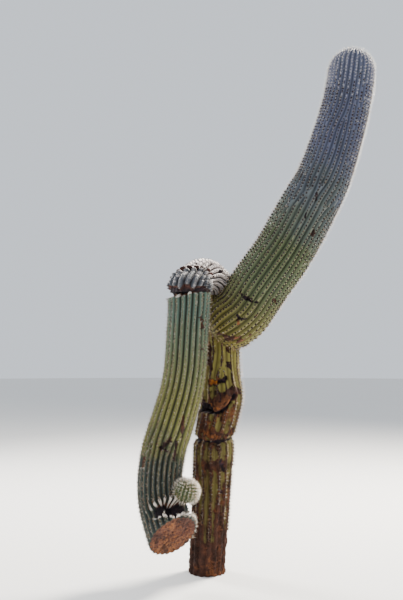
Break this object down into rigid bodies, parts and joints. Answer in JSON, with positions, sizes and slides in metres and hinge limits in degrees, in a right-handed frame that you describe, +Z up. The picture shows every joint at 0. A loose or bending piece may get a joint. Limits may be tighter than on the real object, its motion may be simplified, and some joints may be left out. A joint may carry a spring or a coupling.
{
  "type": "saguaro cactus",
  "caption": "Weathered saguaro: ribbed trunk, thick arm raised to one side, and a top folded over long ago into an arm that hangs to a cut end with a young offset.",
  "frame": {"origin": "middle of the flat cut under the trunk, at ground level", "axes": "+Z up, +X towards the side that the raised arm leans to, +Y away from the side that the picture shows"},
  "size_m": [1.7636, 0.8178, 3.8665],
  "materials": {
    "trunk": "ribbed, dull, browned and corky low down",
    "raised_arm": "ribbed, dull waxy skin under dense spines",
    "folded_crown": "ribbed, dull, weathered to grey cork",
    "hanging_arm": "ribbed, dull waxy skin with rows of spines",
    "cut_arm_end": "dull brown callus with a spiny rim",
    "young_offset": "ribbed, fresh, thickly spined"
  },
  "bodies": {
    "root": {"trunk": "trunk", "raised_arm": "raised_arm", "folded_crown": "folded_crown", "hanging_arm": "hanging_arm", "cut_arm_end": "cut_arm_end", "young_offset": "young_offset"}
  },
  "joints": []
}
